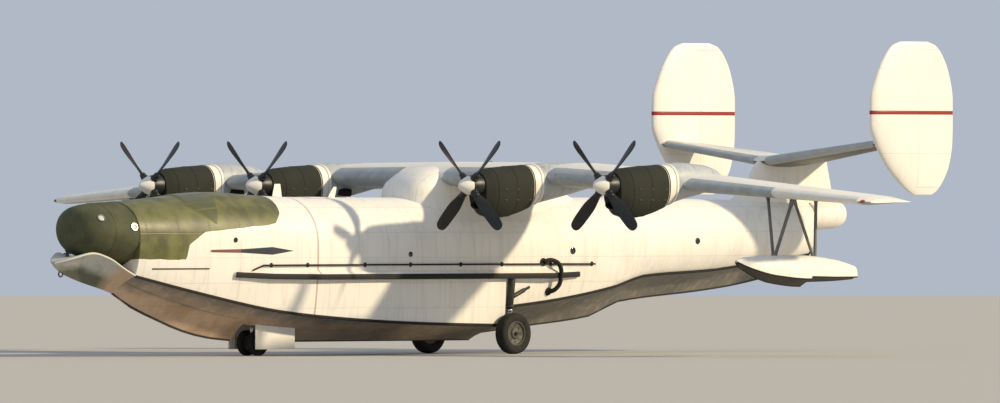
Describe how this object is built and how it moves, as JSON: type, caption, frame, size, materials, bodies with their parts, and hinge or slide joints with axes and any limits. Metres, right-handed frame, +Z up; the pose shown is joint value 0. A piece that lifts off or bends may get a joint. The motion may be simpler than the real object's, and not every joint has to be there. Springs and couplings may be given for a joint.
{
  "type": "flying boat",
  "caption": "Amphibian flying boat with a high wing, turboprop engines, wing floats, end-plate fins and wheels, parked on its undercarriage.",
  "frame": {"origin": "on the ground under the middle of the overall length and span", "axes": "+X forward, +Y to port, +Z up"},
  "size_m": [34.8, 36, 9.8],
  "materials": {
    "white_paint": "satin off-white paint over aluminium sheet",
    "olive_paint": "matt olive paint",
    "cowl_paint": "matt dark olive paint",
    "grey_paint": "grey bottom paint, scuffed",
    "dark_glass": "dark tinted glazing",
    "black_blade": "black blades, white spinner",
    "cast_metal": "cast engine casing",
    "leg_steel": "dark painted steel legs and struts",
    "tyre_rubber": "black rubber tyre"
  },
  "bodies": {
    "airframe": {"aerial_mast": "white_paint", "bow_lower": "grey_paint", "cowl_inner_port": "cowl_paint", "cowl_inner_starboard": "cowl_paint", "cowl_outer_port": "cowl_paint", "cowl_outer_starboard": "cowl_paint", "engine_inner_port": "cast_metal", "engine_inner_starboard": "cast_metal", "engine_outer_port": "cast_metal", "engine_outer_starboard": "cast_metal", "fin_port": "white_paint", "fin_starboard": "white_paint", "float_port": "white_paint", "float_starboard": "white_paint", "float_struts_port": "leg_steel", "float_struts_starboard": "leg_steel", "hull_after": "white_paint", "hull_centre": "white_paint", "hull_forward": "white_paint", "hull_tail": "white_paint", "main_leg_port": "leg_steel", "main_leg_starboard": "leg_steel", "nacelle_inner_port": "white_paint", "nacelle_inner_starboard": "white_paint", "nacelle_outer_port": "white_paint", "nacelle_outer_starboard": "white_paint", "nose_door_port": "white_paint", "nose_door_starboard": "white_paint", "nose_leg": "leg_steel", "nose_upper": "olive_paint", "side_ledge_port": "white_paint", "side_ledge_starboard": "white_paint", "tail_cone": "white_paint", "tail_pylon": "white_paint", "tailplane": "white_paint", "windscreen": "dark_glass", "wing_centre": "white_paint", "wing_fairing": "white_paint", "wing_outer_port": "white_paint", "wing_outer_starboard": "white_paint"},
    "propeller_outer_port": {"propeller_outer_port": "black_blade"},
    "propeller_inner_port": {"propeller_inner_port": "black_blade"},
    "propeller_inner_starboard": {"propeller_inner_starboard": "black_blade"},
    "propeller_outer_starboard": {"propeller_outer_starboard": "black_blade"},
    "main_wheel_port": {"main_wheel_port": "tyre_rubber"},
    "main_wheel_starboard": {"main_wheel_starboard": "tyre_rubber"},
    "nose_steering": {"nose_steering": "leg_steel"},
    "nose_wheels": {"nose_wheels": "tyre_rubber"},
    "flap_inner_port": {"flap_inner_port": "white_paint"},
    "flap_inner_starboard": {"flap_inner_starboard": "white_paint"},
    "flap_outer_port": {"flap_outer_port": "white_paint"},
    "flap_outer_starboard": {"flap_outer_starboard": "white_paint"},
    "aileron_port": {"aileron_port": "white_paint"},
    "aileron_starboard": {"aileron_starboard": "white_paint"},
    "elevator_port": {"elevator_port": "white_paint"},
    "elevator_starboard": {"elevator_starboard": "white_paint"},
    "rudder_port": {"rudder_port": "white_paint"},
    "rudder_starboard": {"rudder_starboard": "white_paint"}
  },
  "joints": [
    {"name": "propeller_outer_port_turn", "type": "hinge", "parent": "airframe", "child": "propeller_outer_port", "pos_m": [4.1, 10.05, 5.25], "axis": [1, 0, 0], "continuous": true},
    {"name": "propeller_inner_port_turn", "type": "hinge", "parent": "airframe", "child": "propeller_inner_port", "pos_m": [4.6, 4.7, 5.25], "axis": [1, 0, 0], "continuous": true},
    {"name": "propeller_inner_starboard_turn", "type": "hinge", "parent": "airframe", "child": "propeller_inner_starboard", "pos_m": [4.6, -4.7, 5.25], "axis": [1, 0, 0], "continuous": true},
    {"name": "propeller_outer_starboard_turn", "type": "hinge", "parent": "airframe", "child": "propeller_outer_starboard", "pos_m": [4.1, -10.05, 5.25], "axis": [1, 0, 0], "continuous": true},
    {"name": "main_wheel_port_turn", "type": "hinge", "parent": "airframe", "child": "main_wheel_port", "pos_m": [-0.6, 1.88, 0.642], "axis": [0, 1, 0], "continuous": true},
    {"name": "main_wheel_starboard_turn", "type": "hinge", "parent": "airframe", "child": "main_wheel_starboard", "pos_m": [-0.6, -1.88, 0.642], "axis": [0, 1, 0], "continuous": true},
    {"name": "nose_steering_turn", "type": "hinge", "parent": "airframe", "child": "nose_steering", "pos_m": [8.9, 0, 1.05], "axis": [0, 0, 1], "range_deg": [-60, 60]},
    {"name": "nose_wheels_turn", "type": "hinge", "parent": "nose_steering", "child": "nose_wheels", "pos_m": [8.9, 0, 0.39508], "axis": [0, 1, 0], "continuous": true},
    {"name": "flap_inner_port_turn", "type": "hinge", "parent": "airframe", "child": "flap_inner_port", "pos_m": [-2.04971, 1.5, 5.56726], "axis": [0.0171, -0.9998, 0.0028], "range_deg": [0, 60]},
    {"name": "flap_inner_starboard_turn", "type": "hinge", "parent": "airframe", "child": "flap_inner_starboard", "pos_m": [-2.04971, -1.5, 5.56726], "axis": [-0.0171, -0.9998, -0.0028], "range_deg": [0, 60]},
    {"name": "flap_outer_port_turn", "type": "hinge", "parent": "airframe", "child": "flap_outer_port", "pos_m": [-2.11416, 5.7, 5.55107], "axis": [-0.0622, -0.9967, 0.0522], "range_deg": [0, 60]},
    {"name": "flap_outer_starboard_turn", "type": "hinge", "parent": "airframe", "child": "flap_outer_starboard", "pos_m": [-2.11416, -5.7, 5.55107], "axis": [0.0622, -0.9967, -0.0522], "range_deg": [0, 60]},
    {"name": "aileron_port_turn", "type": "hinge", "parent": "airframe", "child": "aileron_port", "pos_m": [-1.74078, 11.65, 5.23641], "axis": [-0.0741, -0.9947, 0.0713], "range_deg": [-22, 22]},
    {"name": "aileron_starboard_turn", "type": "hinge", "parent": "airframe", "child": "aileron_starboard", "pos_m": [-1.74078, -11.65, 5.23641], "axis": [0.0741, -0.9947, -0.0713], "range_deg": [-22, 22]},
    {"name": "elevator_port_turn", "type": "hinge", "parent": "airframe", "child": "elevator_port", "pos_m": [-15.40178, 0.42, 6.06075], "axis": [-0.1179, -0.9859, -0.1191], "range_deg": [-25, 25]},
    {"name": "elevator_starboard_turn", "type": "hinge", "parent": "airframe", "child": "elevator_starboard", "pos_m": [-15.40178, -0.42, 6.06075], "axis": [0.1179, -0.9859, 0.1191], "range_deg": [-25, 25]},
    {"name": "rudder_port_turn", "type": "hinge", "parent": "airframe", "child": "rudder_port", "pos_m": [-15.65, 4.82, 5.2], "axis": [0, 0, 1], "range_deg": [-25, 25]},
    {"name": "rudder_starboard_turn", "type": "hinge", "parent": "airframe", "child": "rudder_starboard", "pos_m": [-15.65, -4.82, 5.2], "axis": [0, 0, 1], "range_deg": [-25, 25]}
  ],
  "couplings": [
    {"joint": "flap_inner_starboard_turn", "follows": "flap_inner_port_turn", "ratio": 1},
    {"joint": "flap_outer_port_turn", "follows": "flap_inner_port_turn", "ratio": 1},
    {"joint": "flap_outer_starboard_turn", "follows": "flap_inner_port_turn", "ratio": 1},
    {"joint": "aileron_starboard_turn", "follows": "aileron_port_turn", "ratio": -1},
    {"joint": "elevator_starboard_turn", "follows": "elevator_port_turn", "ratio": 1},
    {"joint": "rudder_starboard_turn", "follows": "rudder_port_turn", "ratio": 1}
  ]
}
